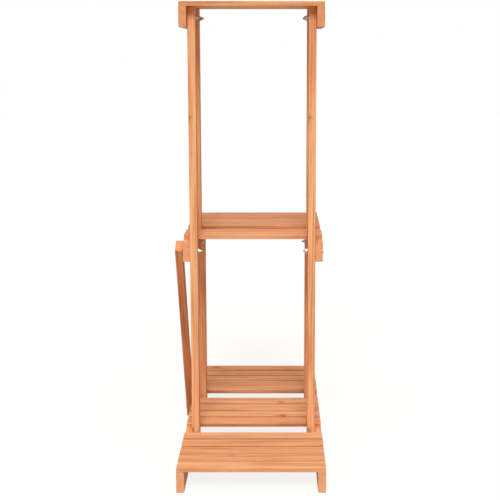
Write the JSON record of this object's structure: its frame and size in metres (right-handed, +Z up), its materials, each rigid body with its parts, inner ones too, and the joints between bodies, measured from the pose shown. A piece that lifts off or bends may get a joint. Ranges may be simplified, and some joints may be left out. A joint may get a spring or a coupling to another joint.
{
  "type": "plant ladder stand",
  "caption": "Tall stepped stand of slatted wooden shelves on rails, bolted between upright legs and stiffened by a diagonal brace.",
  "frame": {"origin": "middle of the bounding box at floor level, under the stand", "axes": "+Z up; X across the 375 mm wide frame with the brace on the -X side; Y along the 840 mm long base, away from the near end"},
  "size_m": [0.3998, 0.84, 1.2203],
  "materials": {
    "wood": "satin honey-orange stained softwood with fine straight grain",
    "steel": "dull zinc-plated steel"
  },
  "bodies": {
    "root": {"base_rail_left": "wood", "base_rail_right": "wood", "base_slat_front_1": "wood", "base_slat_front_2": "wood", "base_slat_front_3": "wood", "base_slat_front_4": "wood", "base_slat_front_5": "wood", "base_slat_middle_1": "wood", "base_slat_middle_2": "wood", "base_slat_middle_3": "wood", "base_slat_middle_4": "wood", "base_slat_rear_1": "wood", "base_slat_rear_2": "wood", "base_slat_rear_3": "wood", "base_slat_rear_4": "wood", "base_slat_rear_5": "wood", "bolt_base_front_left": "steel", "bolt_base_front_right": "steel", "bolt_base_lower_rear_left": "steel", "bolt_base_lower_rear_right": "steel", "bolt_mid_front_left": "steel", "bolt_mid_front_right": "steel", "bolt_mid_lower_rear_left": "steel", "bolt_mid_lower_rear_right": "steel", "bolt_mid_upper_rear_left": "steel", "bolt_mid_upper_rear_right": "steel", "bolt_top_front_left": "steel", "bolt_top_front_right": "steel", "bolt_top_upper_rear_left": "steel", "bolt_top_upper_rear_right": "steel", "diagonal_brace": "wood", "front_leg_left": "wood", "front_leg_right": "wood", "lower_rear_leg_left": "wood", "lower_rear_leg_right": "wood", "mid_rail_left": "wood", "mid_rail_right": "wood", "mid_slat_front_1": "wood", "mid_slat_front_2": "wood", "mid_slat_rear_1": "wood", "mid_slat_rear_2": "wood", "mid_slat_rear_3": "wood", "mid_slat_rear_4": "wood", "mid_slat_rear_5": "wood", "top_rail_left": "wood", "top_rail_right": "wood", "top_slat_1": "wood", "top_slat_2": "wood", "top_slat_3": "wood", "top_slat_4": "wood", "top_slat_5": "wood", "upper_rear_leg_left": "wood", "upper_rear_leg_right": "wood"}
  },
  "joints": []
}
